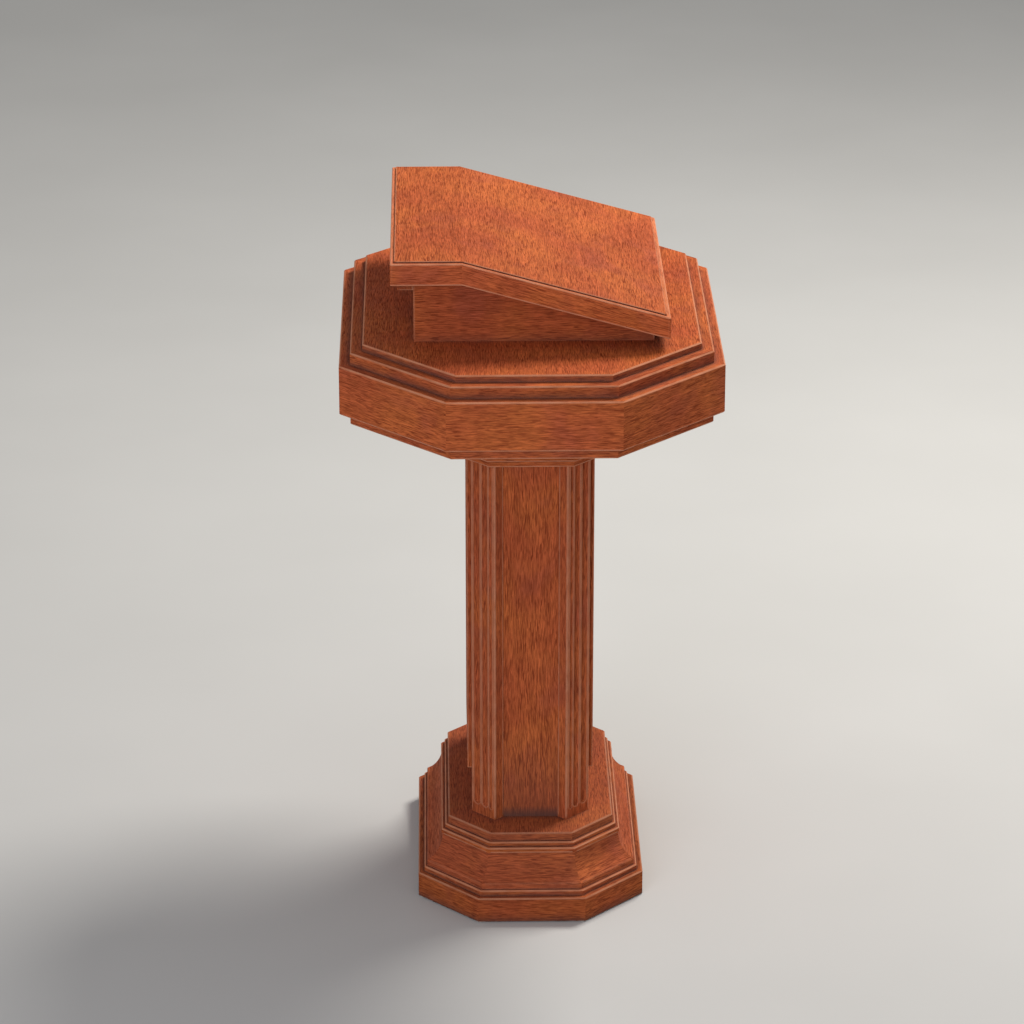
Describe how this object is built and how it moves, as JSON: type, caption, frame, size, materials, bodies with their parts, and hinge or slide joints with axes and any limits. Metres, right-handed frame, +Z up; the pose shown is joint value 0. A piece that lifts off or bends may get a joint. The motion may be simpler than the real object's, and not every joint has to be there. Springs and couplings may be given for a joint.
{
  "type": "lectern stand",
  "caption": "Octagonal wooden lectern with a stepped base, fluted column, moulded capital and table, and a closed wedge book rest with a flat shelf and a sloping desk.",
  "frame": {"origin": "middle of the octagonal footprint, on the floor under the glides", "axes": "+X towards the reader, the way the desk slopes down; +Y to the reader's right; +Z up"},
  "size_m": [0.64, 0.85, 1.193],
  "materials": {
    "rail_wood": "mahogany rails, mouldings and boards, satin lacquer, worn edges",
    "top_wood": "lighter red-brown mahogany boards, satin lacquer",
    "column_wood": "mahogany posts, panels and capital, grain upright, satin lacquer",
    "inner_wood": "unfinished softwood inside",
    "steel": "zinc-plated steel",
    "glide": "dark nylon"
  },
  "bodies": {
    "root": {"base_bearers": "inner_wood", "base_cove_front": "rail_wood", "base_cove_left": "rail_wood", "base_cove_reader": "rail_wood", "base_cove_right": "rail_wood", "base_coves_corner": "rail_wood", "base_deck": "rail_wood", "base_glides": "glide", "base_screws": "steel", "base_step_board": "rail_wood", "base_top_board": "rail_wood", "cap_bearers": "inner_wood", "cap_step_board": "top_wood", "cap_underboard": "rail_wood", "capital_cove_mouldings": "column_wood", "capital_step_mouldings": "column_wood", "column_end_blocks": "inner_wood", "column_panel_front": "column_wood", "column_panel_left": "column_wood", "column_panel_reader": "column_wood", "column_panel_right": "column_wood", "column_post_front_left": "column_wood", "column_post_front_right": "column_wood", "column_post_reader_left": "column_wood", "column_post_reader_right": "column_wood", "desk_bed_flat": "rail_wood", "desk_bed_slope": "rail_wood", "desk_core_flat": "inner_wood", "desk_core_slope": "inner_wood", "desk_edge_flat_left": "rail_wood", "desk_edge_flat_right": "rail_wood", "desk_edge_high": "rail_wood", "desk_edge_low": "rail_wood", "desk_edge_slope_left": "rail_wood", "desk_edge_slope_right": "rail_wood", "desk_raised_flat": "top_wood", "desk_raised_slope": "top_wood", "fascia_corners": "rail_wood", "fascia_front": "rail_wood", "fascia_glue_blocks": "inner_wood", "fascia_left": "rail_wood", "fascia_reader": "rail_wood", "fascia_right": "rail_wood", "plinth_glue_blocks": "inner_wood", "plinth_rail_front": "rail_wood", "plinth_rail_left": "rail_wood", "plinth_rail_reader": "rail_wood", "plinth_rail_right": "rail_wood", "plinth_rails_corner": "rail_wood", "rest_cheek_left": "rail_wood", "rest_cheek_right": "rail_wood", "rest_front_board": "rail_wood", "rest_low_board": "inner_wood", "rest_rib": "inner_wood", "rest_screws": "steel", "table_top": "top_wood", "tie_rod_nuts": "steel", "tie_rod_washers": "steel", "tie_rods": "steel"}
  },
  "joints": []
}
